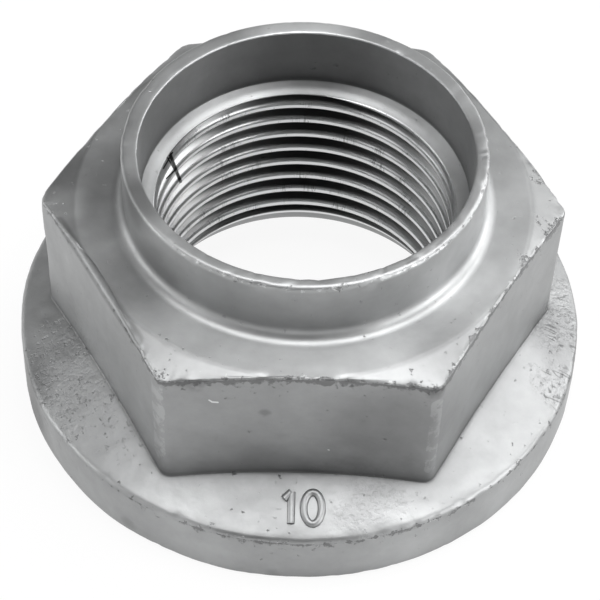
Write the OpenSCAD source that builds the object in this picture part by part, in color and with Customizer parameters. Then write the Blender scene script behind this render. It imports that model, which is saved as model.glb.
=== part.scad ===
// Pinion nut: a forged flanged hexagon nut with a thin turned locking collar.
// One solid. The thread's axis is Z, the bearing face lies on z = 0 and the
// collar points up. The thread is held here as its tapping bore.

/* [Hexagon] */
// Width across flats
across_flats = 32; // [30:0.5:34]
// Height of the hexagon's turned top face where it meets the corner facets
hex_top_h = 16.8; // [14:0.1:20]
// Radius of the six upright edges
hex_edge_r = 1; // [0.4:0.1:2]
// Slope of the facets on the six corners, from level
corner_slope = 18; // [10:1:30]
// Slope of the turned top face between the collar and the facets, from level
top_face_slope = 3; // [0:0.5:8]

/* [Flange] */
// Outer diameter of the flange
flange_d = 41.2; // [39:0.2:46]
// Height of the flange's upright rim
flange_rim_h = 4.6; // [3:0.1:6]
// Slope of the flange's upper face, from level
flange_slope = 22; // [10:1:28]
// Round on the upper edge of the flange's rim
rim_top_r = 0.5; // [0.2:0.1:1]
// Round on the lower edge of the flange's rim
rim_bottom_r = 0.4; // [0.2:0.1:1]

/* [Collar] */
// Height of the collar above the hexagon's top face
collar_h = 5; // [3:0.1:7]
// Wall thickness of the collar
collar_wall = 1.05; // [0.8:0.05:1.4]
// Gap between the thread's major diameter and the collar's bore, on the radius
collar_clearance = 0.5; // [0.2:0.05:0.8]
// Depth of the collar's bore
collar_bore_h = 4.7; // [3:0.1:6]
// Fillet at the foot of the collar
collar_fillet_r = 0.9; // [0.4:0.1:1.2]
// Round on both edges of the collar's rim
collar_edge_r = 0.25; // [0.1:0.05:0.35]

/* [Thread] */
// Nominal diameter of the thread
thread_d = 22; // [20:0.5:23]
// Pitch of the thread
thread_pitch = 1.5; // [1:0.25:2]
// Depth of the thread as a share of the pitch; 0.54 is the full form
thread_depth_share = 0.44; // [0.4:0.01:0.54]
// Slope of the chamfer that leads from the collar's bore to the thread, from level
entry_slope = 27; // [15:1:60]

/* [Recess under the flange] */
// Diameter of the recess at the bearing face
recess_d = 27; // [25.5:0.1:28]
// Width and height of the chamfer at the recess's mouth
recess_mouth_c = 1.4; // [0.5:0.1:1.6]
// Slope of the cone between that chamfer and the thread, from level
recess_slope = 60; // [50:1:70]

/* [Hidden] */
$fn = 96;

// How far a cutting shape runs past the face that it opens
CUT = 1;
// How far the rounded edges sit inside the flats, so that the surfaces cross
EDGE_INSET = 0.01;

flange_r = flange_d / 2;
flat_r = across_flats / 2;
edge_axis_r = (flat_r - hex_edge_r) / cos(30) - EDGE_INSET;
corner_r = edge_axis_r + hex_edge_r;

thread_bore_r = thread_d / 2 - thread_pitch * thread_depth_share;
collar_bore_r = thread_d / 2 + collar_clearance;
collar_r = collar_bore_r + collar_wall;
collar_top = hex_top_h + collar_h;
collar_floor = collar_top - collar_bore_h;
thread_top = collar_floor - (collar_bore_r - thread_bore_r) * tan(entry_slope);

recess_r = recess_d / 2;
recess_cone_r = recess_r - recess_mouth_c;
thread_bottom = recess_mouth_c + (recess_cone_r - thread_bore_r) * tan(recess_slope);

// Height of the turned top face at a radius
function top_face_h(r) = hex_top_h + (flat_r - r) * tan(top_face_slope);

// Height of the corner facets at a radius
function corner_h(r) = hex_top_h - (r - flat_r) * tan(corner_slope);

// Height of the flange's upper face at a radius
function flange_h(r) = flange_rim_h + (flange_r - r) * tan(flange_slope);

// A block in the half-plane, with its four sides at the given radii and heights
module ring_section(r_in, r_out, z_low, z_high) {
    translate([r_in, z_low]) square([r_out - r_in, z_high - z_low]);
}

// Half section of the flange, with its rim's two edges rounded
module flange_section() {
    ease = rim_top_r * tan((90 - flange_slope) / 2);
    round_r = flange_r - rim_top_r;
    round_h = flange_rim_h - ease;
    tangent_r = round_r + rim_top_r * sin(flange_slope);
    tangent_h = round_h + rim_top_r * cos(flange_slope);
    union() {
        polygon([
            [0, 0], [flange_r - rim_bottom_r, 0], [flange_r, rim_bottom_r],
            [flange_r, round_h], [tangent_r, tangent_h], [0, flange_h(0)]
        ]);
        translate([round_r, round_h]) circle(r = rim_top_r);
        translate([flange_r - rim_bottom_r, rim_bottom_r]) circle(r = rim_bottom_r);
    }
}

// Half section of the collar, with the fillet at its foot and its rim rounded
module collar_section() {
    foot_r = collar_r + collar_fillet_r;
    foot_h = top_face_h(foot_r);
    difference() {
        union() {
            ring_section(0, collar_r, flange_rim_h, collar_top - collar_edge_r);
            ring_section(0, collar_r - collar_edge_r, flange_rim_h, collar_top);
            translate([collar_r - collar_edge_r, collar_top - collar_edge_r])
                circle(r = collar_edge_r);
            ring_section(0, foot_r, flange_rim_h, foot_h + collar_fillet_r);
        }
        translate([foot_r, foot_h + collar_fillet_r]) circle(r = collar_fillet_r);
        ring_section(collar_r, foot_r + CUT, foot_h + collar_fillet_r, collar_top + CUT);
    }
}

// Half section of the space that the hexagon's top is turned to
module hexagon_cap_section() {
    polygon([
        [0, 0], [corner_r + CUT, 0], [corner_r + CUT, corner_h(corner_r + CUT)],
        [flat_r, hex_top_h], [0, top_face_h(0)]
    ]);
}

// Half section of everything that is open along the axis
module bore_section() {
    polygon([
        [0, -CUT], [recess_r + CUT, -CUT], [recess_cone_r, recess_mouth_c],
        [thread_bore_r, thread_bottom], [thread_bore_r, thread_top],
        [collar_bore_r, collar_floor], [collar_bore_r, collar_top - collar_edge_r],
        [collar_bore_r + collar_edge_r, collar_top],
        [collar_bore_r + collar_edge_r, collar_top + CUT], [0, collar_top + CUT]
    ]);
}

// Upright hexagonal column with rounded edges, one flat facing -Y
module hexagon_column(h) {
    flat_reach = (flat_r - hex_edge_r) * tan(30);
    linear_extrude(h)
        polygon([
            for (k = [0:5], side = [-flat_reach, flat_reach])
                [flat_r * sin(60 * k) + side * cos(60 * k), side * sin(60 * k) - flat_r * cos(60 * k)]
        ]);
    for (k = [0:5])
        rotate(60 * k + 30) translate([0, -edge_axis_r, 0]) cylinder(r = hex_edge_r, h = h);
}

module nut() {
    color([0.64, 0.65, 0.64])
        difference() {
            union() {
                rotate_extrude() flange_section();
                rotate_extrude() collar_section();
                intersection() {
                    hexagon_column(hex_top_h + CUT);
                    rotate_extrude() hexagon_cap_section();
                }
            }
            rotate_extrude() bore_section();
        }
}

nut();
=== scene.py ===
"""A forged and turned pinion nut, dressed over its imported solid.

The nut stands on its bearing face with the thread's axis on Z and the collar
up. Sizes are in millimetres and are turned into metres as a mesh is made.
"""

import logging
import math
from dataclasses import dataclass, field, replace
from enum import Enum

import bpy
import numpy as np
from mathutils import Matrix, Vector, noise


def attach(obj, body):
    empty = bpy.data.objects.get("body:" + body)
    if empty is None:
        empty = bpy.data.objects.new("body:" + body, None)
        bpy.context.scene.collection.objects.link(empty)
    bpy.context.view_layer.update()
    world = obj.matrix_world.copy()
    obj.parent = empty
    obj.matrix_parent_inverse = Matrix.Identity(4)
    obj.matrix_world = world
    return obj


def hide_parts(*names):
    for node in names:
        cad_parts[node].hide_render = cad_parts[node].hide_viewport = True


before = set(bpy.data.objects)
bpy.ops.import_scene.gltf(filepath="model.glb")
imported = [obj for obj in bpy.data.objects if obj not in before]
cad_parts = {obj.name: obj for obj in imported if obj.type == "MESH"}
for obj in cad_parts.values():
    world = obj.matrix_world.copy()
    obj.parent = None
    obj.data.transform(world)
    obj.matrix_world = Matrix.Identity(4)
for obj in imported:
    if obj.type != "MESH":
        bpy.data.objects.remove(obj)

MM = 0.001
TAU = 2.0 * math.pi
PHOTO_SIDE = 600
CORNERS = 6.0
WELD = 1e-6
TOUCH = 1e-7

Socket = bpy.types.NodeSocket
Lengths = float | np.ndarray
Place = tuple[float, float, float]

log = logging.getLogger("pinion_nut")


class Surface(Enum):
    """How a stretch of the nut's skin was made, which decides its finish."""

    FORGED = 0
    TURNED = 1
    # Bored stretches, the bore's wall and the recess, get a darker finish that paints shade into
    # them.
    BORED = 2


@dataclass(frozen=True)
class NutSizes:
    """The nut's sizes in millimetres, the same as the solid's."""

    flat_r: float = 16.0
    hex_top_h: float = 16.8
    hex_edge_r: float = 1.0
    edge_axis_r: float = 15.0 / math.cos(math.radians(30)) - 0.01
    corner_slope: float = math.radians(18)
    top_face_slope: float = math.radians(3)
    flange_r: float = 20.6
    flange_rim_h: float = 4.6
    flange_slope: float = math.radians(22)
    rim_top_r: float = 0.5
    rim_bottom_r: float = 0.4
    collar_r: float = 12.55
    collar_top: float = 21.8
    collar_bore_r: float = 11.5
    collar_floor: float = 17.1
    collar_fillet_r: float = 0.9
    collar_edge_r: float = 0.25
    thread_minor_r: float = 10.38
    thread_major_r: float = 11.1
    thread_pitch: float = 1.5
    entry_r: float = 10.55
    entry_slope: float = math.radians(15)
    entry_drop: float = 1.0
    entry_ease: float = 0.465
    recess_r: float = 13.5
    recess_cone_r: float = 12.1
    recess_mouth_h: float = 1.4
    recess_slope: float = math.radians(60)
    bore_shift: tuple[float, float] = (0.1, -0.15)

    def top_face_h(self, r: Lengths) -> Lengths:
        """Return the height of the turned top face at a radius."""
        return self.hex_top_h + (self.flat_r - r) * math.tan(self.top_face_slope)

    def corner_h(self, r: Lengths) -> Lengths:
        """Return the height of the corner facets at a radius."""
        return self.hex_top_h - (r - self.flat_r) * math.tan(self.corner_slope)

    def flange_h(self, r: Lengths) -> Lengths:
        """Return the height of the flange's upper face at a radius."""
        return self.flange_rim_h + (self.flange_r - r) * math.tan(self.flange_slope)

    def entry_h(self, r: float) -> float:
        """Return the height of the hollowed floor above the thread.

        Args:
            r: Radius from the axis.

        Returns:
            The height in millimetres.
        """
        inward = self.collar_bore_r - r
        ease = self.entry_ease * inward / (self.collar_bore_r - self.thread_minor_r)
        return self.collar_floor - inward * (self.entry_drop - ease)

    def recess_h(self, r: float) -> float:
        """Return the height of the cone below the thread at a radius."""
        return self.recess_mouth_h + (self.recess_cone_r - r) * math.tan(self.recess_slope)


class Number:
    """A number that a node tree works out, used in sums as any other number."""

    def __init__(self, wires: "Wires", socket: Socket) -> None:
        """Keep the socket that holds the number, and the tree that it is in."""
        self.wires = wires
        self.socket = socket

    def __add__(self, other: "Number | float") -> "Number":
        """Return the sum of two numbers."""
        return self.wires.math("ADD", self, other)

    def __sub__(self, other: "Number | float") -> "Number":
        """Return this number less the other."""
        return self.wires.math("SUBTRACT", self, other)

    def __rsub__(self, other: float) -> "Number":
        """Return a plain number less this one."""
        return self.wires.math("SUBTRACT", other, self)

    def __mul__(self, other: "Number | float") -> "Number":
        """Return the product of two numbers."""
        return self.wires.math("MULTIPLY", self, other)

    def __truediv__(self, other: "Number | float") -> "Number":
        """Return this number as a share of the other."""
        return self.wires.math("DIVIDE", self, other)

    __radd__ = __add__
    __rmul__ = __mul__

    def at_least(self, other: "Number | float") -> "Number":
        """Return the larger of two numbers."""
        return self.wires.math("MAXIMUM", self, other)

    def at_most(self, other: "Number | float") -> "Number":
        """Return the smaller of two numbers."""
        return self.wires.math("MINIMUM", self, other)

    def span(self, low: float, high: float, smooth: bool = True) -> "Number":
        """Return a share that runs from 0 to 1 between two limits.

        Args:
            low: Where the share is 0.
            high: Where the share is 1.
            smooth: Whether the share starts and ends softly.

        Returns:
            The share.
        """
        share = self.wires.math("DIVIDE", self - low, high - low, clamp=True)
        return share * share * (share * -2.0 + 3.0) if smooth else share

    def mix(self, a: "Number | float", b: "Number | float") -> "Number":
        """Return a number that runs from a to b as this share runs from 0 to 1."""
        return self * (b - a) + a


class Wires:
    """A short hand for adding nodes to a tree and joining them."""

    def __init__(self, tree: bpy.types.NodeTree) -> None:
        """Keep the tree, a shader's or a geometry's, that nodes are added to."""
        self.tree = tree

    def node(self, kind: str, inputs: dict | None = None, **settings: object) -> bpy.types.Node:
        """Add a node, set it and join its inputs.

        Args:
            kind: The node's type name.
            inputs: Values, numbers or output sockets, by the input's name or place.
            settings: The node's own properties.

        Returns:
            The new node.
        """
        made = self.tree.nodes.new(kind)
        for name, value in settings.items():
            setattr(made, name, value)
        for key, value in (inputs or {}).items():
            source = value.socket if isinstance(value, Number) else value
            if isinstance(source, Socket):
                self.tree.links.new(source, made.inputs[key])
            else:
                made.inputs[key].default_value = source
        return made

    def number(self, kind: str, inputs: dict, output: int | str = 0, **settings: object) -> Number:
        """Add a node and return one of its outputs as a number."""
        return Number(self, self.node(kind, inputs, **settings).outputs[output])

    def math(self, operation: str, *values: Number | Socket | float, clamp: bool = False) -> Number:
        """Add a Math node and return its result, kept between 0 and 1 if it is clamped."""
        given = dict(enumerate(values))
        return self.number("ShaderNodeMath", given, operation=operation, use_clamp=clamp)

    def vector(self, operation: str, a: Socket | Place, b: Socket | Place) -> Socket:
        """Add a Vector Math node for two places and return its result."""
        return self.node("ShaderNodeVectorMath", {0: a, 1: b}, operation=operation).outputs[0]

    def measure(self, operation: str, a: Socket | Place, b: Socket | Place) -> Number:
        """Add a Vector Math node that turns two places into a number."""
        return self.number("ShaderNodeVectorMath", {0: a, 1: b}, "Value", operation=operation)

    def scaled(self, place: Socket | Place, factor: Number) -> Socket:
        """Return a place with its three numbers made larger or smaller."""
        given = {0: place, "Scale": factor}
        return self.node("ShaderNodeVectorMath", given, operation="SCALE").outputs[0]

    def xyz(self, x: Number | float = 0.0, y: Number | float = 0.0,
            z: Number | float = 0.0) -> Socket:
        """Return the place that three numbers make."""
        return self.node("ShaderNodeCombineXYZ", {0: x, 1: y, 2: z}).outputs[0]

    def parts(self, place: Socket) -> list[Number]:
        """Return the three numbers of a place."""
        return [Number(self, out) for out in self.node("ShaderNodeSeparateXYZ", {0: place}).outputs]


class ShapeTree(Wires):
    """A Geometry Nodes tree with named inputs, which is run once on a piece."""

    def __init__(self, name: str, values: dict[str, float]) -> None:
        """Start with an input for the piece's own mesh and one for each size.

        Args:
            name: Name for the tree.
            values: The value of each named input; a whole one gets a whole number's socket.
        """
        super().__init__(bpy.data.node_groups.new(name, "GeometryNodeTree"))
        self.values = values
        face = self.tree.interface
        face.new_socket("Start", in_out="INPUT", socket_type="NodeSocketGeometry")
        for label, value in values.items():
            kind = "NodeSocketInt" if isinstance(value, int) else "NodeSocketFloat"
            face.new_socket(label, in_out="INPUT", socket_type=kind)
        face.new_socket("Shape", in_out="OUTPUT", socket_type="NodeSocketGeometry")
        given = self.node("NodeGroupInput").outputs
        self.start = given["Start"]
        self.size = {label: Number(self, given[label]) for label in values}

    def shape(self, kind: str, inputs: dict, **settings: object) -> Socket:
        """Add a node and return the shape that it makes."""
        return self.node(kind, inputs, **settings).outputs[0]

    def joined(self, parts: list[Socket]) -> Socket:
        """Return some shapes as one.

        Args:
            parts: The shapes.

        Returns:
            The shape of them all.
        """
        join = self.node("GeometryNodeJoinGeometry")
        for part in parts:
            self.tree.links.new(part, join.inputs[0])
        return join.outputs[0]

    def store(self, shape: Socket, name: str, value: Number | float, domain: str = "POINT") -> Socket:
        """Store a number on a shape.

        Args:
            shape: The shape.
            name: The attribute's name.
            value: The number.
            domain: Where it is kept, on points or on faces.

        Returns:
            The shape that holds it.
        """
        return self.shape("GeometryNodeStoreNamedAttribute", {
            "Geometry": shape, "Name": name, "Value": value}, data_type="FLOAT", domain=domain)

    def end(self, shape: Socket, finish: bpy.types.Material, chosen: Socket | bool = True) -> None:
        """End the tree with a shape that is smooth, real and has its finish.

        Args:
            shape: The shape.
            finish: Its material.
            chosen: Which faces get the material.
        """
        smooth = self.shape("GeometryNodeSetShadeSmooth", {"Geometry": shape})
        real = self.shape("GeometryNodeRealizeInstances", {"Geometry": smooth})
        dressed = self.shape("GeometryNodeSetMaterial", {
            "Geometry": real, "Selection": chosen, "Material": finish})
        self.node("NodeGroupOutput", {"Shape": dressed})

    def run(self, piece: bpy.types.Object) -> bpy.types.Mesh:
        """Run the tree on a piece and return the result as a plain mesh.

        Slots that are left without a material are taken out.

        Args:
            piece: The object that the tree starts from.

        Returns:
            The new mesh.
        """
        modifier = piece.modifiers.new(self.tree.name, "NODES")
        modifier.node_group = self.tree
        for item in self.tree.interface.items_tree:
            if item.name in self.values and item.in_out == "INPUT":
                modifier[item.identifier] = self.values[item.name]
        bpy.context.view_layer.update()
        mesh = bpy.data.meshes.new_from_object(
            piece.evaluated_get(bpy.context.evaluated_depsgraph_get()))
        piece.modifiers.remove(modifier)
        finishes = [material for material in mesh.materials if material]
        used = np.empty(len(mesh.polygons), np.int32)
        mesh.polygons.foreach_get("material_index", used)
        order = [finishes.index(m) if m else 0 for m in mesh.materials]
        mesh.materials.clear()
        for material in finishes:
            mesh.materials.append(material)
        mesh.polygons.foreach_set("material_index", np.array(order, np.int32)[used])
        return mesh


def add_object(name: str, data: bpy.types.ID) -> bpy.types.Object:
    """Make an object and put it in the scene.

    Args:
        name: Name for the object.
        data: Its mesh, lamp or camera.

    Returns:
        The object.
    """
    made = bpy.data.objects.new(name, data)
    bpy.context.collection.objects.link(made)
    return made


def new_material(name: str) -> tuple[bpy.types.Material, Wires]:
    """Make a material without nodes.

    Args:
        name: Name for the material.

    Returns:
        The material and the wires of its tree.
    """
    material = bpy.data.materials.new(name)
    material.use_nodes = True
    material.node_tree.nodes.clear()
    return material, Wires(material.node_tree)


@dataclass(frozen=True)
class Columns:
    """The angles around the axis at which every section of the nut is cut.

    They crowd towards the six corners, where the hexagon's round edges are.
    """

    count: int = 396
    crowding: float = 0.6

    def angles(self) -> np.ndarray:
        """Return the angles in radians, without the one that closes the ring."""
        even = TAU * np.arange(self.count) / self.count
        return even - self.crowding / CORNERS * np.sin(CORNERS * even)


@dataclass(frozen=True)
class Make:
    """How a row's metal was made, and what has happened to it since.

    The surface is that between the row and the one before. The lift is the
    height of the forging's unevenness, in millimetres. The others run from 0
    to 1: how much the row is knocked about, how much painted shade it gets as
    a crease, and how much torn metal hangs down from it.
    """

    surface: Surface
    lift: float = 0.0
    edge: float = 0.0
    hollow: float = 0.0
    burr: float = 0.0


class SectionRows:
    """Rows of points around the nut, walked along its half section.

    The walk starts under the thread, goes out over the bearing face, up the
    outside, in over the top and down the bore, so the metal is on its left.
    """

    def __init__(self, count: int) -> None:
        """Start with no rows.

        Args:
            count: Points in each row.
        """
        self.count = count
        self.r: list[np.ndarray] = []
        self.z: list[np.ndarray] = []
        self.makes: list[Make] = []

    def point(self, r: Lengths, z: Lengths, make: Make) -> None:
        """Add one row.

        Args:
            r: Radius, one number or one for each column.
            z: Height, one number or one for each column.
            make: How the row was made.
        """
        self.r.append(np.broadcast_to(np.asarray(r, float), self.count).copy())
        self.z.append(np.broadcast_to(np.asarray(z, float), self.count).copy())
        self.makes.append(make)

    def line(self, r: Lengths, z: Lengths, shares: tuple[float, ...], make: Make) -> None:
        """Add rows on the straight line from the last row to a new place.

        Args:
            r: Radius where the line ends.
            z: Height where the line ends.
            shares: Where the rows lie, as shares of the line's length.
            make: How the rows were made.
        """
        r0, z0 = self.r[-1], self.z[-1]
        for share in shares:
            self.point(r0 + (r - r0) * share, z0 + (z - z0) * share, make)

    def arc(self, r: Lengths, z: Lengths, radius: Lengths, start: float, stop: Lengths,
            steps: int, make: Make) -> None:
        """Add rows on an arc in the section's plane.

        Only its middle row is knocked about or gets painted crease shade, and
        torn metal hangs down from its second.

        Args:
            r: Radius of the arc's centre from the axis.
            z: Height of the arc's centre.
            radius: The arc's own radius.
            start: Angle of its first row, from +r towards +z.
            stop: Angle of its last row.
            steps: Spaces between the rows.
            make: How the rows were made.
        """
        for step in range(steps + 1):
            angle = start + (stop - start) * step / steps
            middle = 1.0 if step == steps // 2 else 0.0
            hit = replace(make, edge=make.edge * middle, hollow=make.hollow * middle,
                          burr=make.burr if step == 1 else 0.0)
            self.point(r + radius * np.cos(angle), z + radius * np.sin(angle), hit)


@dataclass
class ForgedShell:
    """Everything of the nut but its thread: flange, hexagon, collar and bore."""

    sizes: NutSizes = field(default_factory=NutSizes)
    columns: Columns = field(default_factory=Columns)
    foot_fillet_r: float = 0.15
    top_edge_r: float = 0.22
    soft_edge_r: float = 0.35
    rim_lean: float = 0.1
    rim_bore_r: float = 0.12
    entry_rows: tuple[float, ...] = (11.2, 11.0, 10.8, 10.65)
    recess_shares: tuple[float, ...] = (1.0, 0.8, 0.5, 0.2)
    flange_lift: float = 0.07
    flat_lift: float = 0.05
    turned_lift: float = 0.012
    facet_from: float = 0.05
    facet_over: float = 0.35
    swell_per_mm: float = 0.16
    swell_levels: tuple[float, float, int] = (0.9, 2.1, 2)
    swell_share: float = 1.1
    ripple_per_mm: float = 0.75
    ripple_share: float = 0.45
    bite_per_mm: float = 1.1
    fine_bite_per_mm: float = 2.6
    fine_bite_share: float = 0.5
    bite_from: float = 0.08
    chip_from: float = 0.2
    chip_depth: float = 0.2
    wear_swing: float = 0.3
    soft_calm: float = 0.85
    # Least painted shade at the hexagon's foot, away from the front.
    foot_least: float = 0.3
    wear_reach: float = 0.4
    # Painted shade in creases and hollows fades over these reaches.
    crease_shade_reach: float = 0.9
    foot_reach: float = 0.14
    burr_reach: float = 0.35
    wear_at: float = math.radians(-75)
    soft_side: float = math.radians(-152)
    # Side where the foot's painted shade is strongest.
    crisp_side: float = math.radians(-85)
    side_span: float = 0.33

    def soften(self, angles: np.ndarray) -> np.ndarray:
        """Return how far the hexagon's edges are beaten round at each angle, from 0 to 1."""
        away = (angles - self.soft_side + math.pi) % TAU - math.pi
        return np.exp(-(away / self.side_span) ** 2)

    def foot_shade_share(self, angles: np.ndarray) -> np.ndarray:
        """Return how much painted shade the hexagon's foot gets at each angle.

        Args:
            angles: Angles around the axis, in radians.

        Returns:
            One share from 0 to 1 for each angle.
        """
        away = (angles - self.crisp_side + math.pi) % TAU - math.pi
        near = np.exp(-(away / (2.0 * self.side_span)) ** 2)
        return self.foot_least + (1.0 - self.foot_least) * near

    def hexagon_r(self, angles: np.ndarray) -> np.ndarray:
        """Return the hexagon's radius at each angle, with its round edges.

        Args:
            angles: Angles around the axis, in radians; a corner lies on 0.

        Returns:
            The radius from the axis to the upright wall.
        """
        s = self.sizes
        from_corner = (angles + math.pi / 6) % (math.pi / 3) - math.pi / 6
        from_flat = math.pi / 6 - np.abs(from_corner)
        flat = s.flat_r / np.cos(from_flat)
        side = s.edge_axis_r * np.sin(from_corner)
        inside = np.sqrt(np.clip(s.hex_edge_r ** 2 - side ** 2, 0.0, None))
        edge = s.edge_axis_r * np.cos(from_corner) + inside
        near = np.abs(side) < s.hex_edge_r * 0.5
        return np.where(near, np.minimum(flat, edge), flat)

    def walk(self) -> SectionRows:
        """Return all rows, from under the thread to just above it.

        Returns:
            The rows.
        """
        s = self.sizes
        angles = self.columns.angles()
        rows = SectionRows(self.columns.count)
        self.add_underside(rows)
        self.add_flange(rows, angles)
        self.add_hexagon(rows, angles)
        self.add_collar(rows, angles)
        for r in self.entry_rows:
            rows.point(r, s.entry_h(r), Make(Surface.TURNED))
        rows.point(s.entry_r, s.entry_h(s.entry_r), Make(Surface.TURNED, edge=0.5))
        return rows

    def add_underside(self, rows: SectionRows) -> None:
        """Add the recess and the bearing face.

        Args:
            rows: The rows so far.
        """
        s = self.sizes
        turned, bored = Make(Surface.TURNED), Make(Surface.BORED)
        rows.point(s.thread_major_r, s.recess_h(s.thread_major_r), turned)
        rows.line(s.recess_cone_r, s.recess_mouth_h, (0.5, 0.95, 1.0), bored)
        rows.line(s.recess_r, 0.0, (0.05, 0.5, 0.95, 1.0), bored)
        rows.line(s.flange_r - s.rim_bottom_r, 0.0, (0.02, 0.25, 0.5, 0.75, 0.97), turned)

    def add_flange(self, rows: SectionRows, angles: np.ndarray) -> None:
        """Add the flange's rim and its sloped upper face.

        Args:
            rows: The rows so far.
            angles: Angles around the axis, in radians.
        """
        s = self.sizes
        forged = Make(Surface.FORGED, self.flange_lift)
        low, high = s.rim_bottom_r, s.rim_top_r
        # Painted shade darkens this lower edge as a thin line.
        rows.arc(s.flange_r - low, low, low, -math.pi / 2, 0.0, 4,
                 replace(forged, edge=0.4, hollow=0.7))
        round_h = s.flange_rim_h - high * math.tan((math.pi / 2 - s.flange_slope) / 2)
        rows.line(s.flange_r, round_h, (0.08, 0.25, 0.45, 0.65, 0.82, 0.95), forged)
        rows.arc(s.flange_r - high, round_h, high, 0.0, math.pi / 2 - s.flange_slope, 5,
                 replace(forged, edge=0.75, burr=0.55))
        fillet = self.foot_fillet_r
        centre_r = self.hexagon_r(angles) + fillet
        centre_h = s.flange_h(centre_r) + fillet / math.cos(s.flange_slope)
        rows.line(centre_r - fillet * math.sin(s.flange_slope),
                  centre_h - fillet * math.cos(s.flange_slope),
                  (0.06, 0.15, 0.27, 0.4, 0.52, 0.64, 0.76, 0.87, 0.95), forged)
        # The foot's fillet gets the most painted shade.
        rows.arc(centre_r, centre_h, fillet, -math.pi / 2 - s.flange_slope, -math.pi, 4,
                 replace(forged, hollow=1.0))

    def add_hexagon(self, rows: SectionRows, angles: np.ndarray) -> None:
        """Add the hexagon's flats, its worn top edge, the facets and the top face.

        Args:
            rows: The rows so far.
            angles: Angles around the axis, in radians.
        """
        s = self.sizes
        forged = Make(Surface.FORGED, self.flat_lift)
        turned = Make(Surface.TURNED, self.turned_lift)
        wall = self.hexagon_r(angles)
        edge = self.top_edge_r + self.soft_edge_r * self.soften(angles)
        facet = np.clip((wall - s.flat_r - self.facet_from) / self.facet_over, 0.0, 1.0)
        slope = s.top_face_slope + (s.corner_slope - s.top_face_slope) * facet
        start_r = wall - edge * (1.0 - np.sin(slope))
        start_h = np.where(start_r > s.flat_r, s.corner_h(start_r), s.top_face_h(start_r))
        centre_h = start_h - edge * np.cos(slope)
        rows.line(wall, centre_h, (0.03, 0.08, 0.16, 0.25, 0.35, 0.45, 0.55, 0.65, 0.75, 0.84,
                                   0.91, 0.955, 0.978, 0.992), forged)
        rows.arc(wall - edge, centre_h, edge, 0.0, math.pi / 2 - slope, 4,
                 replace(forged, edge=1.0, burr=1.0))
        break_r = np.minimum(s.flat_r, start_r - 0.01)
        rows.line(break_r, s.top_face_h(break_r), (0.1, 0.35, 0.6, 0.82, 1.0), turned)
        foot_r = s.collar_r + s.collar_fillet_r
        rows.line(foot_r, s.top_face_h(foot_r), (0.12, 0.25, 0.4, 0.6, 0.8, 0.96), turned)

    def add_collar(self, rows: SectionRows, angles: np.ndarray) -> None:
        """Add the collar's fillet, wall and rim, and the bore down to its floor.

        The rim's outer edge is rounder in front than behind.

        Args:
            rows: The rows so far.
            angles: Angles around the axis, in radians.
        """
        s = self.sizes
        turned = Make(Surface.TURNED, self.turned_lift)
        foot_r = s.collar_r + s.collar_fillet_r
        rows.arc(foot_r, s.top_face_h(foot_r) + s.collar_fillet_r, s.collar_fillet_r,
                 -math.pi / 2, -math.pi, 8, turned)
        outer = s.collar_edge_r - self.rim_lean * np.sin(angles)
        rows.line(s.collar_r, s.collar_top - outer, (0.05, 0.25, 0.45, 0.65, 0.85, 0.96), turned)
        rows.arc(s.collar_r - outer, s.collar_top - outer, outer, 0.0, math.pi / 2, 5,
                 replace(turned, edge=0.9))
        inner = self.rim_bore_r
        rows.line(s.collar_bore_r + inner, s.collar_top, (0.3, 0.7), turned)
        rows.arc(s.collar_bore_r + inner, s.collar_top - inner, inner, math.pi / 2, math.pi, 4,
                 replace(turned, edge=0.7))
        rows.line(s.collar_bore_r, s.collar_floor, (0.06, 0.2, 0.4, 0.6, 0.8, 0.95, 1.0),
                  Make(Surface.BORED, self.turned_lift))
        # The bore's floor corner gets painted shade.
        rows.point(s.collar_bore_r - 0.05, s.collar_floor - 0.04, Make(Surface.TURNED, hollow=0.9))

    def bore_shares(self, rows: SectionRows) -> np.ndarray:
        """Return how far each row goes with the bore, which was turned a little off centre.

        Args:
            rows: All rows of the shell.

        Returns:
            One share from 0 to 1 for each row.
        """
        top = int(np.argmax([float(z.mean()) for z in rows.z]))
        shares = np.clip((np.arange(len(rows.r)) - top) / 2.0, 0.0, 1.0)
        shares[:len(self.recess_shares)] = self.recess_shares
        return shares

    def near(self, r: np.ndarray, z: np.ndarray, marks: list[float], reach: float,
             one_side: bool = False) -> np.ndarray:
        """Return how near each point lies to the marked rows, from 0 to 1.

        Args:
            r: Radii, one row of numbers for each row of points.
            z: Heights.
            marks: Weight of each row, 0 where it isn't marked.
            reach: Way along the section over which the weight fades, in millimetres.
            one_side: Whether only the rows before a marked row count.

        Returns:
            One row of numbers for each row of points.
        """
        walked = np.zeros_like(r)
        walked[1:] = np.cumsum(np.hypot(np.diff(r, axis=0), np.diff(z, axis=0)), axis=0)
        share = np.zeros_like(r)
        for i, weight in enumerate(marks):
            if weight:
                near = weight * np.exp(-np.abs(walked - walked[i]) / reach)
                if one_side:
                    near[i + 1:] = 0.0
                share = np.maximum(share, near)
        return share

    def push(self, place: Vector, lift: float, wear: float) -> float:
        """Return how far the skin stands out at a place.

        Args:
            place: The place, in millimetres.
            lift: Height of the forging's unevenness there.
            wear: How near the place lies to a worn edge, from 0 to 1.

        Returns:
            The length in millimetres, below 0 where the skin is bitten into.
        """
        apart = Vector((7.0, 3.0, 5.0))
        swell = noise.fractal(place * self.swell_per_mm, *self.swell_levels) * self.swell_share
        ripple = noise.noise(place * self.ripple_per_mm + apart) * self.ripple_share
        out = lift * (swell + ripple)
        if wear > self.chip_from:
            bite = noise.noise(place * self.bite_per_mm + apart)
            bite += noise.noise(place * self.fine_bite_per_mm) * self.fine_bite_share
            out -= self.chip_depth * wear * max(0.0, bite - self.bite_from)
        return out

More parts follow.
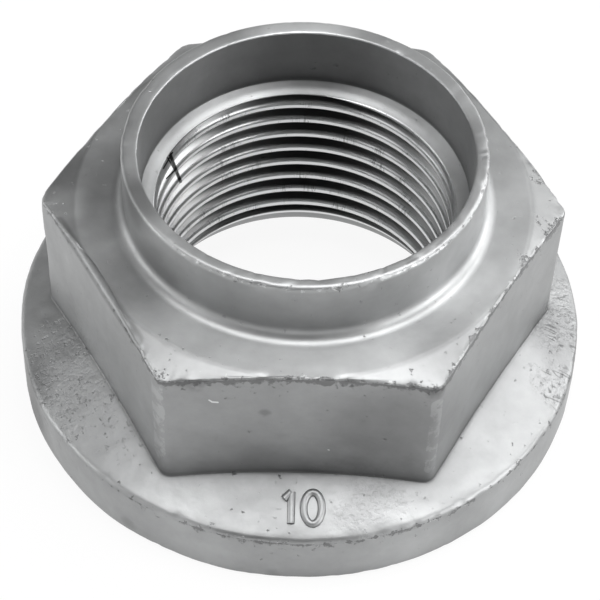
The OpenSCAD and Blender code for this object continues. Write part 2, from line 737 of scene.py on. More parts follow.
    def uneven(self, rows: SectionRows, angles: np.ndarray,
               wear: np.ndarray) -> tuple[np.ndarray, np.ndarray]:
        """Push the rows in and out a little, as a forging's skin is uneven.

        Args:
            rows: All rows of the shell.
            angles: Angles around the axis, in radians.
            wear: How near each point lies to a worn edge.

        Returns:
            Radii and heights, one row of numbers for each row of points.
        """
        r, z = np.array(rows.r), np.array(rows.z)
        along_r, along_z = np.gradient(r, axis=0), np.gradient(z, axis=0)
        length = np.maximum(np.hypot(along_r, along_z), 1e-9)
        out_r, out_z = along_z / length, -along_r / length
        x, y = r * np.cos(angles), r * np.sin(angles)
        for i, make in enumerate(rows.makes):
            if make.lift:
                push = np.array([self.push(Vector(place), make.lift, worn)
                                 for *place, worn in zip(x[i], y[i], z[i], wear[i])])
                r[i] += out_r[i] * push
                z[i] = np.maximum(z[i] + out_z[i] * push, 0.0)
        return r, z

    def mesh(self, name: str) -> bpy.types.Mesh:
        """Make the shell's mesh, open only where the thread joins it.

        Args:
            name: Name for the mesh.

        Returns:
            The mesh, in metres, with its finishes' slots still empty.
        """
        angles = self.columns.angles()
        rows = self.walk()
        r, z = np.array(rows.r), np.array(rows.z)
        hollow = [make.hollow for make in rows.makes]
        weight = 1.0 - self.wear_swing + self.wear_swing * np.cos(angles - self.wear_at)
        weight = weight * (1.0 - self.soft_calm * self.soften(angles))
        wear = self.near(r, z, [make.edge for make in rows.makes], self.wear_reach) * weight
        burr = self.near(r, z, [make.burr for make in rows.makes], self.burr_reach, True) * weight
        # The hollow rows' shares are painted shade, darkening the creases, the foot and the lower
        # edge.
        shares = {"wear": wear,
                  "crease_shade": self.near(r, z, hollow, self.crease_shade_reach) * self.foot_shade_share(angles),
                  "foot": self.near(r, z, hollow, self.foot_reach),
                  "burr": burr}
        r, z = self.uneven(rows, angles, wear)
        shift = self.bore_shares(rows)[:, None]
        points = np.stack([r * np.cos(angles) + shift * self.sizes.bore_shift[0],
                           r * np.sin(angles) + shift * self.sizes.bore_shift[1], z], axis=-1) * MM
        grid = np.arange(r.size).reshape(r.shape)
        beside = np.roll(grid, -1, axis=1)
        quads = np.stack([grid[:-1], beside[:-1], beside[1:], grid[1:]], axis=-1).reshape(-1, 4)
        mesh = bpy.data.meshes.new(name)
        mesh.from_pydata(points.reshape(-1, 3).tolist(), [], quads.tolist())
        finish = np.repeat([make.surface.value for make in rows.makes[1:]], self.columns.count)
        mesh.polygons.foreach_set("material_index", finish.astype(np.int32))
        for label, share in shares.items():
            stored = mesh.attributes.new(label, "FLOAT", "POINT")
            stored.data.foreach_set("value", share.ravel().astype(np.float32))
        return mesh


@dataclass
class HelicalThread:
    """The right-hand thread, a grid whose rows climb with the helix.

    Turns are counted downwards from the top. Of the steps that each turn has,
    the first ones cross the groove and the rest the crest.
    """

    sizes: NutSizes = field(default_factory=NutSizes)
    columns: Columns = field(default_factory=Columns)
    steps_per_turn: int = 12
    groove_steps: float = 9.0
    flank_steps: float = 4.0
    turns: int = 12
    crest_h: float = 17.985
    rolled_edge: float = 0.3
    rolled_turns: tuple[float, float] = (-1.4, -1.0)
    run_out: tuple[tuple[float, float, float], ...] = ((-0.48, -0.78, 0.78), (-0.1, -0.5, 0.22))

    def tree(self, finish: bpy.types.Material) -> ShapeTree:
        """Build the tree that adds the thread to the shell.

        Args:
            finish: Material of the thread.

        Returns:
            The tree, with named inputs for the thread's sizes.
        """
        tree = ShapeTree("helical_thread", self.values())
        size, steps = tree.size, float(self.steps_per_turn)
        grid = tree.shape("GeometryNodeMeshGrid", {
            "Size X": 1.0, "Size Y": size["Rows"] - 1.0,
            "Vertices X": size["Columns"] + 1.0, "Vertices Y": size["Rows"]})
        across, beyond, _ = tree.parts(tree.node("GeometryNodeInputPosition").outputs[0])
        even = (across + 0.5) * TAU
        angle = even - tree.math("SINE", even * CORNERS) * (size["Crowding"] / CORNERS)
        row = tree.math("ROUND", beyond + (size["Rows"] - 1.0) * 0.5)
        turn = row / steps
        step = tree.math("FLOORED_MODULO", row, steps)
        along = angle / TAU - tree.math("FLOOR", turn + 0.01)
        raw = (angle / TAU - turn) * size["Pitch"] + size["Crest Height"]
        near = step.span(self.flank_steps, 0.0, smooth=False)
        rolled = along.span(*self.rolled_turns) * near * size["Rolled Edge"]
        height = (raw - rolled).at_least(size["Bottom"]).at_most(size["Top"])
        flanks = (step / self.flank_steps).at_most((self.groove_steps - step) / self.flank_steps)
        depth = flanks.at_most(1.0).at_least(0.0)
        depth = depth * sum(along.span(start, stop) * share for start, stop, share in self.run_out)
        radius = depth.mix(size["Minor Radius"], size["Major Radius"])
        above = size["Top Radius"] - (size["Top"] - height) / size["Entry Slope"]
        below = size["Major Radius"] - (height - size["Bottom"]) / size["Recess Slope"]
        radius = radius.at_least(above.at_least(below))
        at_top = tree.math("COMPARE", height, size["Top"], TOUCH)
        at_bottom = tree.math("COMPARE", height, size["Bottom"], TOUCH)
        radius = at_bottom.mix(at_top.mix(radius, size["Top Radius"]), size["Major Radius"])
        place = tree.xyz(radius * tree.math("COSINE", angle) + size["Shift X"],
                         radius * tree.math("SINE", angle) + size["Shift Y"], height)
        marked = tree.store(tree.store(grid, "crest", 1.0 - depth), "cut", 1.0, domain="FACE")
        moved = tree.shape("GeometryNodeSetPosition", {"Geometry": marked, "Position": place})
        merged = tree.shape("GeometryNodeMergeByDistance", {
            "Geometry": tree.joined([tree.start, moved]), "Distance": WELD})
        cut = tree.node("GeometryNodeInputNamedAttribute", {"Name": "cut"}).outputs[0]
        is_cut = tree.node("FunctionNodeCompare", {0: cut, 1: 0.99}, operation="GREATER_EQUAL")
        tree.end(merged, finish, is_cut.outputs[0])
        return tree

    def values(self) -> dict[str, float]:
        """Return the value of each named input.

        Returns:
            Counts as whole numbers, lengths in metres and slopes as ratios.
        """
        s = self.sizes
        return {
            "Columns": self.columns.count,
            "Rows": self.steps_per_turn * self.turns,
            "Crowding": self.columns.crowding,
            "Pitch": s.thread_pitch * MM,
            "Minor Radius": s.thread_minor_r * MM,
            "Major Radius": s.thread_major_r * MM,
            "Crest Height": self.crest_h * MM,
            "Top": s.entry_h(s.entry_r) * MM,
            "Top Radius": s.entry_r * MM,
            "Bottom": s.recess_h(s.thread_major_r) * MM,
            "Entry Slope": math.tan(s.entry_slope),
            "Recess Slope": math.tan(s.recess_slope),
            "Rolled Edge": self.rolled_edge * MM,
            "Shift X": s.bore_shift[0] * MM,
            "Shift Y": s.bore_shift[1] * MM,
        }


@dataclass
class RaisedMark:
    """The strength class, a raised 10 on the flange's slope."""

    sizes: NutSizes = field(default_factory=NutSizes)
    across: float = 0.6
    out: float = 18.35
    height: float = 2.2
    spacing: float = 0.95
    ring_place: float = 0.55
    ring_r: float = 0.62
    ring_sides: int = 28
    stroke_r: float = 0.28
    stroke_sides: int = 10
    flag: float = 0.5

    def tree(self, finish: bpy.types.Material) -> ShapeTree:
        """Build the tree that makes the mark from a bar, its flag and a ring.

        Args:
            finish: Material of the mark.

        Returns:
            The tree, with named inputs for the mark's sizes.
        """
        tree = ShapeTree("raised_mark", self.values())
        size = tree.size
        stroke = tree.shape("GeometryNodeCurvePrimitiveCircle", {
            "Resolution": self.stroke_sides, "Radius": size["Stroke Radius"]})
        half, left = size["Letter Height"] * 0.5, size["Spacing"] * -1.0
        head = tree.xyz(left, half)
        starts = (tree.xyz(left, half * -1.0), tree.xyz(left - size["Flag"], half - size["Flag"]))
        curves = [tree.shape("GeometryNodeCurvePrimitiveLine", {"Start": start, "End": head})
                  for start in starts]
        ring = tree.shape("GeometryNodeCurvePrimitiveCircle", {
            "Resolution": self.ring_sides, "Radius": size["Ring Radius"]})
        curves.append(tree.shape("GeometryNodeTransform", {
            "Geometry": ring, "Translation": tree.xyz(size["Spacing"] * self.ring_place),
            "Scale": tree.xyz(1.0, half / size["Ring Radius"], 1.0)}))
        tubes = [tree.shape("GeometryNodeCurveToMesh", {
            "Curve": curve, "Profile Curve": stroke, "Fill Caps": True}) for curve in curves]
        tree.end(tree.shape("GeometryNodeTransform", {
            "Geometry": tree.joined(tubes), "Rotation": tree.xyz(size["Tilt"]),
            "Translation": tree.xyz(size["Across"], size["Out"] * -1.0, size["Height"])}), finish)
        return tree

    def values(self) -> dict[str, float]:
        """Return the value of each named input.

        Returns:
            Lengths in metres and the tilt in radians.
        """
        s = self.sizes
        return {
            "Letter Height": self.height * MM,
            "Spacing": self.spacing * MM,
            "Ring Radius": self.ring_r * MM,
            "Stroke Radius": self.stroke_r * MM,
            "Flag": self.flag * MM,
            "Tilt": s.flange_slope,
            "Across": self.across * MM,
            "Out": self.out * MM,
            "Height": float(s.flange_h(self.out)) * MM,
        }

    def build(self, finish: bpy.types.Material) -> bpy.types.Object:
        """Make the mark and put it on the nut.

        Args:
            finish: Material of the mark.

        Returns:
            The mark's object.
        """
        start = bpy.data.meshes.new("mark_start")
        piece = add_object("class_mark", start)
        piece.data = self.tree(finish).run(piece)
        bpy.data.meshes.remove(start)
        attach(piece, "root")
        return piece


@dataclass(frozen=True)
class Spot:
    """A round stretch of the skin that differs from the rest, in millimetres."""

    centre: Place
    radius: float
    weight: float = 1.0


@dataclass(frozen=True)
class Scratch:
    """A straight scratch or nick between two places, in millimetres."""

    start: Place
    end: Place
    width: float


class SkinPattern:
    """The patterns on the steel's skin, in millimetres on the nut itself."""

    def __init__(self, wires: Wires) -> None:
        """Start from the object's own coordinates.

        Args:
            wires: The material's nodes.
        """
        self.wires = wires
        own = wires.node("ShaderNodeTexCoord").outputs["Object"]
        scale = (1.0 / MM, 1.0 / MM, 1.0 / MM)
        self.place = wires.node("ShaderNodeMapping", {"Vector": own, "Scale": scale}).outputs[0]
        x, y, self.height = wires.parts(self.place)
        self.radius = wires.math("SQRT", x * x + y * y)
        self.turn = wires.math("ARCTAN2", y, x)
        self.unit_x = x / self.radius
        self.unit_y = y / self.radius

    def attribute(self, name: str) -> Number:
        """Return a number stored on the mesh's points."""
        return self.wires.number("ShaderNodeAttribute", {}, "Fac", attribute_name=name)

    def waves(self, place: Socket, scale: float, detail: float, roughness: float) -> Number:
        """Return soft noise from 0 to 1 at a place."""
        return self.wires.number("ShaderNodeTexNoise", {
            "Vector": place, "Scale": scale, "Detail": detail, "Roughness": roughness})

    def cloud(self, scale: float, detail: float = 2.0, offset: float = 0.0,
              roughness: float = 0.5) -> Number:
        """Return soft noise from 0 to 1.

        Args:
            scale: Spots for each millimetre.
            detail: Levels of finer noise.
            offset: Shift that makes one pattern differ from the next.
            roughness: Weight of the finer levels.

        Returns:
            The noise.
        """
        place = self.place
        if offset:
            place = self.wires.vector("ADD", place, (offset, offset * 0.7, offset * 1.3))
        return self.waves(place, scale, detail, roughness)

    def lathe_lines(self, fine: float, along: float) -> Number:
        """Return noise drawn out around the axis, as a turning tool leaves it.

        Args:
            fine: Lines for each millimetre across them.
            along: Changes along a line for each radian.

        Returns:
            The noise.
        """
        across = self.radius * fine + self.height * (fine * 1.03)
        ring = self.wires.xyz(self.unit_x * along, self.unit_y * along, across)
        return self.waves(ring, 1.0, 2.0, 0.6)

    def hairs(self, fine: float, long: float, offset: float = 0.0) -> Number:
        """Return thin broken lines that lie across the way around the axis, from 0 to 1.

        Args:
            fine: Lines for each millimetre around the nut at its rim.
            long: Changes along a line for each millimetre.
            offset: Shift that makes one pattern differ from the next.

        Returns:
            The share.
        """
        fan = self.wires.xyz(self.turn * (18.0 * fine), self.radius * long,
                             self.height * long + offset)
        middle = self.wires.math("ABSOLUTE", self.waves(fan, 1.0, 1.0, 0.5) - 0.5)
        breaks = self.cloud(0.8, 2.0, offset + 7.0).span(0.47, 0.55)
        return middle.span(0.045, 0.01) * breaks

    def spots(self, spots: tuple[Spot, ...], ragged: float = 0.25,
              core: float = 0.6) -> Number | float:
        """Return 1 inside any of some spots and 0 well outside them, with ragged borders.

        Args:
            spots: The spots.
            ragged: How far the borders stray, as a share of a spot's radius.
            core: Where the full share begins, as a share of a spot's radius.

        Returns:
            The share.
        """
        share = 0.0
        stray = self.cloud(0.5, 3.0, 61.0) * (4.0 * ragged) - 2.0 * ragged
        for spot in spots:
            away = self.wires.measure("DISTANCE", self.place, spot.centre) / spot.radius + stray
            share = (away.span(1.0, core) * spot.weight).at_least(share)
        return share

    def scratches(self, scratches: tuple[Scratch, ...], blow: Place | None = None) -> Number | float:
        """Return 1 along the middle of any of some scratches and 0 beside them.

        Args:
            scratches: The scratches.
            blow: Way that the tool went in, along which a scratch is as deep as it likes.

        Returns:
            The share.
        """
        wires, share = self.wires, 0.0
        for scratch in scratches:
            along = Vector(scratch.end) - Vector(scratch.start)
            place = wires.vector("SUBTRACT", self.place, scratch.start)
            if blow:
                along -= along.project(Vector(blow))
                depth = wires.measure("DOT_PRODUCT", place, blow)
                place = wires.vector("SUBTRACT", place, wires.scaled(blow, depth))
            reached = wires.measure("DOT_PRODUCT", place, tuple(along))
            way = wires.math("DIVIDE", reached, along.length_squared, clamp=True)
            away = wires.measure("DISTANCE", place, wires.scaled(tuple(along), way))
            share = away.span(scratch.width * 0.6, scratch.width * 0.35).at_least(share)
        return share


@dataclass(frozen=True)
class SatinSteel:
    """A satin zinc-grey steel finish and what is common to its three forms."""

    name: str
    grey: float
    roughness: float
    tint: tuple[float, float, float] = (0.99, 1.004, 1.01)
    metallic: float = 0.9
    spread: float = 0.06
    mottle: float = 0.12
    bruised: tuple[Spot, ...] = (
        Spot((16.9, -1.8, 16.4), 1.6),
        Spot((15.0, -5.6, 16.6), 1.3),
        Spot((9.9, -14.2, 16.4), 1.1, 0.6),
        Spot((16.5, 3.0, 16.6), 1.4),
        Spot((11.5, -12.1, 16.6), 1.2),
        Spot((-8.9, -15.6, 16.2), 1.2, 0.7),
        Spot((1.5, -16.1, 16.6), 1.0),
    )
    faded: tuple[Scratch, ...] = (Scratch((-17.0, -2.6, 16.55), (-10.9, -12.9, 16.65), 1.1),)

    def material(self) -> bpy.types.Material:
        """Return the finish as a new material.

        Returns:
            The material.
        """
        material, wires = new_material(self.name)
        tone, dull, relief = self.detail(SkinPattern(wires))
        colour = wires.node("ShaderNodeCombineColor", {
            i: tone * (self.grey * tint) for i, tint in enumerate(self.tint)}).outputs[0]
        bump = wires.node("ShaderNodeBump", {"Height": relief, "Distance": MM, "Strength": 1.0})
        shader = wires.node("ShaderNodeBsdfPrincipled", {
            "Base Color": colour, "Roughness": dull, "Metallic": self.metallic,
            "Normal": bump.outputs[0]})
        wires.node("ShaderNodeOutputMaterial", {"Surface": shader.outputs[0]})
        return material

    def detail(self, skin: SkinPattern) -> tuple[Number, Number, Number]:
        """Return the tone, the roughness and the relief in millimetres, which each form sets."""
        raise NotImplementedError(self.name)

    def swing(self, cloud: Number, spread: float) -> Number:
        """Return a tone of 1 that a cloud makes lighter or darker."""
        return cloud * (2.0 * spread) + (1.0 - spread)

    def changed(self, tone: Number, changes: tuple) -> Number:
        """Return a tone made lighter or darker by some patterns.

        Args:
            tone: The tone so far.
            changes: Pairs of a pattern and the share of the tone that it adds.

        Returns:
            The changed tone.
        """
        for share, change in changes:
            tone = tone * (share * change + 1.0)
        return tone

    def mottled(self, skin: SkinPattern, tone: Number) -> Number:
        """Return a tone with the coating's own light and dark specks and clouds.

        Args:
            skin: The skin's patterns.
            tone: The tone so far.

        Returns:
            The mottled tone.
        """
        fine = self.swing(skin.cloud(0.9, 5.0, 41.0, 0.6), self.mottle)
        wide = self.swing(skin.cloud(0.22, 2.0, 23.0), self.mottle)
        return self.changed(tone * (fine * wide), ((skin.scratches(self.faded), -0.3),))

    def worn(self, skin: SkinPattern) -> tuple[Number, Number]:
        """Find the dark chips and the bright rubs along the edges.

        Args:
            skin: The skin's patterns.

        Returns:
            The shares of chips and of rubs, from 0 to 1.
        """
        wear, burr = skin.attribute("wear"), skin.attribute("burr")
        ragged = skin.cloud(1.9, 5.0, 31.0, 0.65) * 2.0 - 1.0
        ragged = ragged + skin.spots(self.bruised, 0.5, 0.2) * 0.27
        chips = (wear * 0.55 + ragged).span(0.5, 0.66)
        hung = (burr * 0.85 + ragged).span(0.3, 0.55)
        rubs = (wear * 0.62 + skin.cloud(1.9, 4.0, 71.0, 0.6) * 1.9 - 0.95).span(0.56, 0.68)
        return chips.at_least(hung), rubs


@dataclass(frozen=True)
class ForgedSkin(SatinSteel):
    """The forging's skin on the flange and the flats: cloudy, pitted, worn at its edges."""

    swell: float = 0.045
    peel_depth: float = 0.026
    pit_depth: float = 0.035
    hair_depth: float = 0.01
    chip_depth: float = 0.05
    pitted: tuple[Spot, ...] = (
        Spot((-17.2, -5.3, 5.6), 3.4),
        Spot((-15.4, -9.7, 5.6), 3.8),
        Spot((-12.6, -12.2, 6.0), 3.0, 0.5),
        Spot((18.6, -6.5, 5.4), 2.4),
    )
    peeled: tuple[Spot, ...] = (
        Spot((5.0, -17.7, 5.6), 4.2, 0.3),
        Spot((-16.5, -7.5, 5.6), 6.5, 0.5),
        Spot((19.2, -1.0, 5.2), 4.6, 0.8),
        Spot((18.6, -7.0, 5.2), 2.6, 0.6),
    )
    haired: tuple[Spot, ...] = (
        Spot((20.3, 1.5, 4.6), 2.6),
        Spot((20.2, -3.0, 4.6), 2.6),
        Spot((19.4, -7.0, 4.6), 2.6),
        Spot((18.2, -1.0, 5.6), 1.6),
    )
    stained: tuple[Spot, ...] = (
        Spot((-2.3, -16.0, 13.1), 0.6, 0.8),
        Spot((-7.6, -16.2, 16.2), 1.1),
        Spot((-11.9, -16.9, 1.1), 0.9, 0.5),
        Spot((-1.3, -20.6, 0.4), 0.7, 0.5),
        Spot((9.0, -15.8, 15.9), 1.0),
    )
    shaded: tuple[Spot, ...] = (
        Spot((6.0, -16.2, 11.5), 6.6, 0.6),
        Spot((-19.8, -7.5, 2.2), 4.4, 1.0),
        Spot((19.0, -2.5, 5.3), 4.0, 0.35),
    )
    # Spots of painted light, lightening the front rim, the left flat's low part and the flange.
    painted_light: tuple[Spot, ...] = (
        Spot((-14.2, -7.5, 7.8), 5.0, 0.4),
        Spot((-7.7, -17.8, 5.1), 4.0, 0.6),
        Spot((-14.8, -15.6, 1.5), 4.0, 0.2),
        Spot((-6.6, -20.4, 1.5), 5.0, 0.4),
        Spot((7.9, -20.0, 1.5), 5.5, 0.65),
        Spot((15.4, -15.0, 1.5), 6.0, 0.55),
    )
    nicks: tuple[Scratch, ...] = (
        Scratch((-5.95, -16.0, 14.35), (-5.75, -16.0, 14.15), 0.13),
        Scratch((-5.75, -16.0, 14.15), (-5.4, -16.0, 14.12), 0.17),
        Scratch((2.05, -16.0, 9.15), (2.1, -16.0, 9.1), 0.14),
    )
    frayed: tuple[Scratch, ...] = (
        Scratch((-9.4, -15.5, 7.5), (-9.4, -15.5, 15.6), 1.5),
        Scratch((9.1, -15.85, 7.0), (9.1, -15.85, 14.4), 1.1),
    )

    def detail(self, skin: SkinPattern) -> tuple[Number, Number, Number]:
        """Work out the forging's skin.

        Args:
            skin: The skin's patterns.

        Returns:
            The tone, the roughness and the relief in millimetres.
        """
        soft, blotch = skin.cloud(0.14, 2.0), skin.cloud(0.45, 3.0, 11.0)
        peel = skin.cloud(1.5, 3.0, 5.0, 0.55)
        pits = skin.cloud(2.1, 4.0, 13.0, 0.65).span(0.57, 0.68) * skin.spots(self.pitted, 0.4)
        hairs = skin.hairs(1.6, 0.35) * skin.spots(self.haired, 0.4)
        grain = skin.cloud(2.6, 4.0, 19.0, 0.6).span(0.42, 0.66)
        grain = grain * skin.spots(self.peeled, 0.5, 0.3)
        frays = skin.scratches(self.frayed) * 0.5 + skin.cloud(0.9, 5.0, 47.0, 0.65)
        chips, rubs = self.worn(skin)
        tone = self.swing(soft, self.spread) + self.swing(blotch, self.spread) - 1.0
        tone = self.changed(self.mottled(skin, tone), (
            (frays.span(0.93, 1.04), 0.24),
            (pits, -0.22),
            (grain, -0.22),
            (hairs, -0.4),
            (chips, -0.45),
            (rubs, 0.15),
            # Painted shade in the creases and a narrow painted shade line along the hollows.
            (skin.attribute("crease_shade"), -0.45),
            (skin.attribute("foot"), -0.5),
            (skin.spots(self.stained, 0.9, 0.0), -0.35),
            (skin.spots(self.shaded, 0.05, 0.3), -0.5),
            # Painted light in the listed spots.
            (skin.spots(self.painted_light, 0.05, 0.0), 0.5),
            (skin.scratches(self.nicks), 1.2),
        ))
        dull = blotch * 0.16 + (self.roughness - 0.08)
        rough = (skin.spots(self.peeled, 0.4) + 0.3) * self.peel_depth
        relief = blotch * self.swell + peel * rough - grain * self.peel_depth
        relief = relief - pits * self.pit_depth - hairs * self.hair_depth - chips * self.chip_depth
        return tone, dull, relief


@dataclass(frozen=True)
class TurnedSkin(SatinSteel):
    """The turned faces: fine rings from the tool, with nicks along the edges."""

    ring_depth: float = 0.0015
    peel_depth: float = 0.008
    chip_depth: float = 0.05
    # Radius beyond which the corner facets get painted shade.
    facet_shade_r: float = 15.75
    shaded: tuple[Spot, ...] = (
        Spot((-13.6, 0.5, 17.5), 7.5, 0.5),
        Spot((-11.6, -8.2, 17.2), 4.8, 0.7),
        Spot((-11.3, -5.0, 21.8), 3.6, 0.9),
        Spot((9.4, -12.2, 16.9), 4.5, 0.55),
        Spot((0.4, 11.2, 16.2), 4.5, 0.8),
        Spot((-9.5, 5.5, 16.6), 3.0, 0.4),
        Spot((12.4, 0.4, 21.8), 4.5, 0.5),
    )
    # Spots of painted light: the rim behind, a left facet and the fillet's highlight.
    painted_light: tuple[Spot, ...] = (
        Spot((0.0, 12.4, 22.1), 6.0, 1.0),
        Spot((-16.8, -1.3, 16.5), 2.6, 1.0),
        Spot((8.9, -8.9, 18.2), 3.2, 0.35),
        Spot((-0.5, -13.5, 16.6), 2.2, 0.25),
    )

    def detail(self, skin: SkinPattern) -> tuple[Number, Number, Number]:
        """Work out the turned skin.

        Args:
            skin: The skin's patterns.

        Returns:
            The tone, the roughness and the relief in millimetres.
        """
        soft, lines = skin.cloud(0.3, 3.0, 17.0), skin.lathe_lines(5.0, 3.0)
        broad, peel = skin.lathe_lines(1.1, 1.2), skin.cloud(1.5, 3.0, 5.0, 0.55)
        chips, rubs = self.worn(skin)
        tone = self.swing(soft, self.spread) + self.swing(broad, self.spread / 2) - 1.0
        tone = self.changed(self.mottled(skin, tone), (
            (chips, -0.3),
            (rubs, 0.45),
            (skin.cloud(1.2, 4.0, 83.0, 0.6).span(0.69, 0.74), -0.25),
            # Painted shade on the corner facets.
            (skin.radius.span(self.facet_shade_r, self.facet_shade_r + 0.3), -0.21),
            (skin.spots(self.shaded, 0.05, 0.2), -0.5),
            # Painted light, the fillet's highlight among it.
            (skin.spots(self.painted_light, 0.05, 0.2), 0.6),
            # Painted shade in the creases.
            (skin.attribute("crease_shade"), -0.55),
        ))
        dull = soft * 0.14 + (self.roughness - 0.07)
        relief = (lines + broad * 3.0) * self.ring_depth + peel * self.peel_depth
        return tone, dull, relief - chips * self.chip_depth


@dataclass(frozen=True)
class CutThread(SatinSteel):
    """The cut thread: painted light on crests and flanks, painted shade in roots, torn spots."""

    # Painted tones: shade in the roots and on the flanks behind, light on the left and right flanks.
    root_shade_tone: float = 0.1
    back_shade_tone: float = 0.12
    left_lit_tone: float = 0.95
    right_lit_tone: float = 0.45
    line_depth: float = 0.0008
    tear_depth: float = 0.015
    blow: Place = (-0.06, 0.682, -0.729)
    tears: tuple[Scratch, ...] = (
        Scratch((-9.62, 4.4, 16.4), (-8.92, 4.99, 12.74), 0.26),
        Scratch((-9.39, 4.46, 16.31), (-9.94, 2.9, 16.29), 0.11),
        Scratch((-9.8, 3.48, 14.64), (-9.15, 4.6, 14.51), 0.11),
        Scratch((-9.9, 4.1, 16.6), (-9.2, 4.4, 14.4), 0.11),
    )

    def detail(self, skin: SkinPattern) -> tuple[Number, Number, Number]:
        """Work out the thread's skin.

        Args:
            skin: The skin's patterns.

        Returns:
            The tone, the roughness and the relief in millimetres.
        """
        lines, crest = skin.lathe_lines(4.0, 9.0), skin.attribute("crest")
        chatter = skin.hairs(3.0, 0.4, 9.0) * skin.cloud(0.3, 1.0, 91.0).span(0.5, 0.6)
        torn = skin.cloud(2.2, 3.0, 51.0, 0.65).span(0.66, 0.72).at_least(chatter)
        torn = torn * crest.span(0.5, 0.9)
        # Painted light on the flanks by side, lightest on the left and darkest behind; painted shade
        # in the roots.
        left, right = skin.unit_x.span(-0.5, -0.92), skin.unit_x.span(0.4, 0.95)
        painted_flank = left * (self.left_lit_tone - self.back_shade_tone) + self.back_shade_tone
        painted_flank = painted_flank + right * (self.right_lit_tone - self.back_shade_tone)
        painted_flank = crest.span(0.05, 0.3).mix(self.root_shade_tone, painted_flank)
        tone = self.changed(crest.span(0.7, 0.95).mix(painted_flank, 1.0), (
            (lines, 0.1),
            (torn, -0.45),
            (skin.scratches(self.tears, self.blow), -0.95),
        ))
        dull = lines * 0.1 + (self.roughness - 0.05)
        return tone, dull, lines * self.line_depth - torn * self.tear_depth


@dataclass
class PinionNut:
    """The whole nut: shell and thread in one mesh, with a finish on each surface."""

    shell: ForgedShell = field(default_factory=ForgedShell)
    thread: HelicalThread = field(default_factory=HelicalThread)
    mark: RaisedMark = field(default_factory=RaisedMark)

    def build(self) -> list[bpy.types.Object]:
        """Build the nut, dress it and put it in place of the solid.

        Returns:
            The nut and its mark.
        """
        forged = ForgedSkin("forged_skin", 0.32, 0.45).material()
        turned = TurnedSkin("turned_skin", 0.38, 0.45).material()
        # The bore's wall and the recess take a darker grey as painted shade, with more painted shade
        # on the back wall.
        bored = TurnedSkin("bored_skin_painted_shade", 0.27, 0.55, painted_light=(),
                           shaded=(Spot((0.4, 11.5, 18.6), 10.5, 1.0),)).material()
        cut = CutThread("cut_thread", 0.66, 0.3).material()
        mesh = self.shell.mesh("nut_shell")
        for material in (forged, turned, bored):
            mesh.materials.append(material)
        piece = add_object("pinion_nut", mesh)
        piece.data = self.thread.tree(cut).run(piece)
        piece.data.name = "pinion_nut"
        bpy.data.meshes.remove(mesh)
        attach(piece, "root")
        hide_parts("nut")
        return [piece, self.mark.build(forged)]


@dataclass(frozen=True)
class Lamp:
    """A square soft lamp that hangs around the nut and faces it.

    Angles are in degrees, lengths in metres and power in watts.
    """

    name: str
    azimuth: float
    elevation: float
    side: float
    power: float
    distance: float = 0.8

    def hang(self, target: Vector) -> None:
        """Hang the lamp.

        Args:
            target: The point that it faces.
        """
        data = bpy.data.lights.new(self.name, "AREA")
        data.shape = "SQUARE"
        data.size = self.side
        data.energy = self.power
        lamp = add_object(self.name, data)
        lamp.visible_camera = False
        turn, tilt = math.radians(self.azimuth), math.radians(self.elevation)
        away = Vector((math.cos(turn) * math.cos(tilt), math.sin(turn) * math.cos(tilt),
                       math.sin(tilt)))
        lamp.location = target + away * self.distance
        lamp.rotation_euler = (-away).to_track_quat("-Z", "Y").to_euler()


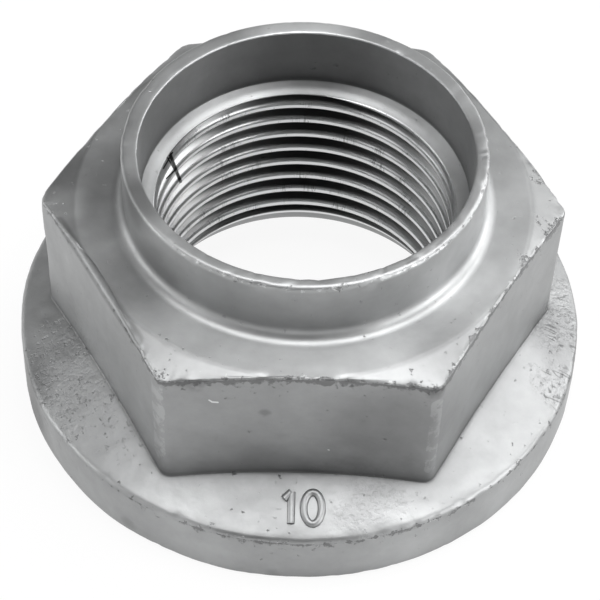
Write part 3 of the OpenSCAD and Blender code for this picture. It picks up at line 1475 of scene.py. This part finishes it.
@dataclass
class Studio:
    """The floor, the soft light and the camera at the photograph's angle."""

    camera_back: float = 98.58
    camera_up: float = 124.14
    camera_pitch: float = 0.877
    camera_roll: float = 0.036
    camera_turn: float = -0.014
    focal_px: float = 2089.0
    sensor_width: float = 36.0
    clip_start: float = 0.01
    floor_r: float = 2.0
    floor_sides: int = 64
    floor_gap: float = 0.02
    bend_r: float = 0.3
    bend_steps: int = 6
    wall_h: float = 0.6
    floor_grey: float = 0.8
    white_share: float = 0.92
    world_level: float = 0.01
    target_h: float = 11.0
    lamps: tuple[Lamp, ...] = (
        Lamp("above_right", 0.0, 72.0, 0.36, 1.9),
        Lamp("above_left", 180.0, 72.0, 0.36, 1.75),
        Lamp("overhead", 0.0, 90.0, 0.36, 1.5),
        Lamp("above_back", 60.0, 72.0, 0.36, 0.72),
        Lamp("high_right", 20.0, 52.0, 0.42, 1.5),
        Lamp("right_front", 328.0, 32.0, 0.36, 1.5),
        Lamp("right_back", 42.0, 32.0, 0.5, 1.75),
        Lamp("low_right", 20.0, 12.0, 0.36, 2.0),
        Lamp("low_front_right", 338.0, 12.0, 0.36, 2.0),
        Lamp("low_left", 180.0, 12.0, 0.36, 1.45),
        Lamp("left", 165.0, 36.0, 0.36, 0.5),
        Lamp("left_front", 216.0, 32.0, 0.36, 0.7),
    )

    def set_camera(self) -> None:
        """Add the camera and make it the scene's own."""
        pitch, roll = self.camera_pitch, self.camera_roll
        ahead = Vector((0.0, math.cos(pitch), -math.sin(pitch)))
        right = Vector((1.0, 0.0, 0.0))
        up = right.cross(ahead)
        turned_right = right * math.cos(roll) + up * math.sin(roll)
        turned_up = up * math.cos(roll) - right * math.sin(roll)
        axes = Matrix((turned_right, turned_up, -ahead)).transposed().to_4x4()
        place = Matrix.Translation(Vector((0.0, -self.camera_back, self.camera_up)) * MM)
        data = bpy.data.cameras.new("camera")
        data.sensor_width = self.sensor_width
        data.lens = self.sensor_width * self.focal_px / PHOTO_SIDE
        data.clip_start = self.clip_start
        camera = add_object("camera", data)
        camera.matrix_world = Matrix.Rotation(self.camera_turn, 4, "Z") @ place @ axes
        bpy.context.scene.camera = camera

    def floor_mesh(self) -> bpy.types.Mesh:
        """Make a round floor whose border bends up into a low wall.

        Returns:
            The mesh, in metres.
        """
        count, flat_r = self.floor_sides, self.floor_r - self.bend_r
        turns = [(math.cos(TAU * i / count), math.sin(TAU * i / count)) for i in range(count)]
        outline = [(flat_r, 0.0)]
        for step in range(1, self.bend_steps + 1):
            angle = math.pi / 2 * step / self.bend_steps
            outline.append((flat_r + self.bend_r * math.sin(angle),
                            self.bend_r * (1 - math.cos(angle))))
        outline.append((self.floor_r, self.wall_h))
        points = [(c * r, s * r, z - self.floor_gap * MM) for r, z in outline for c, s in turns]
        faces = [tuple(range(count))]
        for low in range(0, count * (len(outline) - 1), count):
            for i in range(count):
                j = (i + 1) % count
                faces.append((low + i, low + count + i, low + count + j, low + j))
        mesh = bpy.data.meshes.new("floor")
        mesh.from_pydata(points, [], faces)
        return mesh

    def lay_floor(self) -> None:
        """Lay the pale floor, which shows white and keeps the nut's shadow."""
        floor = add_object("floor", self.floor_mesh())
        material, wires = new_material("pale_floor")
        rays = wires.node("ShaderNodeLightPath").outputs
        seen = wires.math("MAXIMUM", rays["Is Camera Ray"], rays["Is Glossy Ray"])
        share = wires.math("MAXIMUM", seen, rays["Is Transmission Ray"]) * self.white_share
        white = wires.node("ShaderNodeEmission", {"Color": (1, 1, 1, 1), "Strength": 1.0})
        grey = (self.floor_grey, self.floor_grey, self.floor_grey, 1)
        matt = wires.node("ShaderNodeBsdfDiffuse", {"Color": grey})
        mix = wires.node("ShaderNodeMixShader", {0: share, 1: matt.outputs[0], 2: white.outputs[0]})
        wires.node("ShaderNodeOutputMaterial", {"Surface": mix.outputs[0]})
        floor.data.materials.append(material)

    def set_world(self) -> None:
        """Fill the surroundings with an even soft light."""
        world = bpy.data.worlds.new("studio")
        world.use_nodes = True
        world.node_tree.nodes.clear()
        bpy.context.scene.world = world
        wires = Wires(world.node_tree)
        back = wires.node("ShaderNodeBackground", {
            "Color": (1, 1, 1, 1), "Strength": self.world_level})
        wires.node("ShaderNodeOutputWorld", {"Surface": back.outputs[0]})

    def build(self) -> None:
        """Set up camera, floor, world and lamps."""
        bpy.context.scene.view_settings.view_transform = "Standard"
        self.set_camera()
        self.lay_floor()
        self.set_world()
        for lamp in self.lamps:
            lamp.hang(Vector((0.0, 0.0, self.target_h * MM)))
        log.info("studio: camera, floor and %d lamps", len(self.lamps))


def main() -> None:
    """Build the studio and the nut, and log each piece's triangles and finishes."""
    logging.basicConfig(level=logging.INFO, format="%(name)s: %(message)s")
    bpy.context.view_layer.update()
    Studio().build()
    for piece in PinionNut().build():
        triangles = sum(len(face.vertices) - 2 for face in piece.data.polygons)
        log.info("%s: %d triangles, %d finishes", piece.name, triangles, len(piece.data.materials))


if __name__ == "__main__":
    main()
